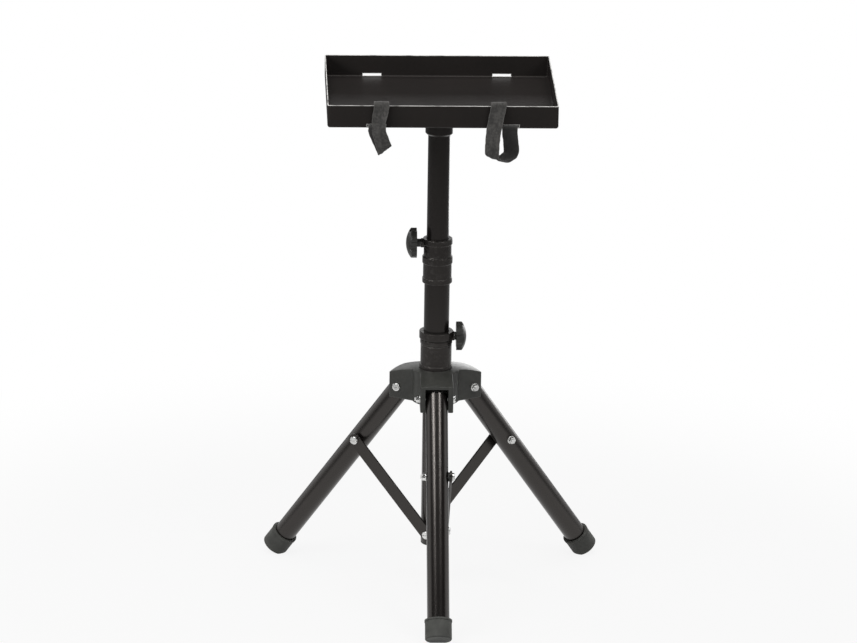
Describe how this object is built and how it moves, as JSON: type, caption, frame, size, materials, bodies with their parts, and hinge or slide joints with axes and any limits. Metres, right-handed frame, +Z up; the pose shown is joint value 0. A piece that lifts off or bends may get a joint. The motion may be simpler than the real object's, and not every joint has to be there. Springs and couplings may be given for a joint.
{
  "type": "portable projector stand",
  "caption": "Tripod stand with folding braced legs, a telescoping column with clamp knobs and a lipped tray with hook-and-loop straps for a projector.",
  "frame": {"origin": "middle of the footprint of the feet, on the floor", "axes": "+Z up, the front leg and the strapped lip of the tray towards -Y"},
  "size_m": [0.5386, 0.4722, 0.8363],
  "materials": {
    "powder_coat": "satin black powder coat",
    "moulded_black": "fine moulded grain",
    "boot_rubber": "matt",
    "zinc": "bright zinc plate",
    "webbing": "hook-and-loop webbing"
  },
  "bodies": {
    "column": {"main_tube": "powder_coat", "upper_collar": "moulded_black", "column_plug": "moulded_black"},
    "slider": {"hub": "moulded_black", "lower_collar": "moulded_black", "hub_bolt_front": "zinc", "hub_bolt_right": "zinc", "hub_bolt_left": "zinc"},
    "telescope": {"pole": "powder_coat"},
    "top": {"tray": "powder_coat", "tray_socket": "powder_coat", "left_strap": "webbing", "right_strap": "webbing"},
    "upper_clamp": {"upper_knob": "moulded_black", "upper_clamp_screw": "zinc"},
    "lower_clamp": {"lower_knob": "moulded_black", "lower_clamp_screw": "zinc"},
    "front_leg": {"leg_front": "powder_coat", "leg_plug_front": "moulded_black", "boot_front": "boot_rubber", "leg_bolt_front": "zinc", "spacer_front": "moulded_black"},
    "front_brace": {"brace_front": "powder_coat", "brace_bolt_front": "zinc"},
    "right_leg": {"leg_right": "powder_coat", "leg_plug_right": "moulded_black", "boot_right": "boot_rubber", "leg_bolt_right": "zinc", "spacer_right": "moulded_black"},
    "right_brace": {"brace_right": "powder_coat", "brace_bolt_right": "zinc"},
    "left_leg": {"leg_left": "powder_coat", "leg_plug_left": "moulded_black", "boot_left": "boot_rubber", "leg_bolt_left": "zinc", "spacer_left": "moulded_black"},
    "left_brace": {"brace_left": "powder_coat", "brace_bolt_left": "zinc"}
  },
  "joints": [
    {"name": "hub_slide", "type": "slide", "parent": "column", "child": "slider", "axis": [0, 0, 1], "range_m": [0, 0.07055]},
    {"name": "pole_slide", "type": "slide", "parent": "column", "child": "telescope", "axis": [0, 0, 1], "range_m": [-0.16, 0.175]},
    {"name": "tray_swivel", "type": "hinge", "parent": "telescope", "child": "top", "pos_m": [0, 0.07102, 0.796], "axis": [0, 0, 1], "continuous": true},
    {"name": "upper_knob_turn", "type": "hinge", "parent": "column", "child": "upper_clamp", "pos_m": [-0.03, 0.07102, 0.567], "axis": [-1, 0, 0], "continuous": true},
    {"name": "lower_knob_turn", "type": "hinge", "parent": "slider", "child": "lower_clamp", "pos_m": [0.03, 0.07102, 0.41352], "axis": [1, 0, 0], "continuous": true},
    {"name": "front_leg_fold", "type": "hinge", "parent": "slider", "child": "front_leg", "pos_m": [0, 0.01498, 0.32652], "axis": [1, 0, 0], "range_deg": [0, 36.5]},
    {"name": "front_brace_fold", "type": "hinge", "parent": "front_leg", "child": "front_brace", "pos_m": [0, -0.06164, 0.22299], "axis": [-1, 0, 0], "range_deg": [0, 63.49]},
    {"name": "right_leg_fold", "type": "hinge", "parent": "slider", "child": "right_leg", "pos_m": [0.04853, 0.09904, 0.32652], "axis": [-0.5, 0.866, 0], "range_deg": [0, 36.5]},
    {"name": "right_brace_fold", "type": "hinge", "parent": "right_leg", "child": "right_brace", "pos_m": [0.11488, 0.13735, 0.22299], "axis": [0.5, -0.866, 0], "range_deg": [0, 63.49]},
    {"name": "left_leg_fold", "type": "hinge", "parent": "slider", "child": "left_leg", "pos_m": [-0.04853, 0.09904, 0.32652], "axis": [-0.5, -0.866, 0], "range_deg": [0, 36.5]},
    {"name": "left_brace_fold", "type": "hinge", "parent": "left_leg", "child": "left_brace", "pos_m": [-0.11488, 0.13735, 0.22299], "axis": [0.5, 0.866, 0], "range_deg": [0, 63.49]}
  ],
  "couplings": [
    {"joint": "front_leg_fold", "follows": "hub_slide", "rad_per_m": 9.0303},
    {"joint": "front_brace_fold", "follows": "hub_slide", "rad_per_m": 15.707},
    {"joint": "right_leg_fold", "follows": "hub_slide", "rad_per_m": 9.0303},
    {"joint": "right_brace_fold", "follows": "hub_slide", "rad_per_m": 15.707},
    {"joint": "left_leg_fold", "follows": "hub_slide", "rad_per_m": 9.0303},
    {"joint": "left_brace_fold", "follows": "hub_slide", "rad_per_m": 15.707}
  ]
}
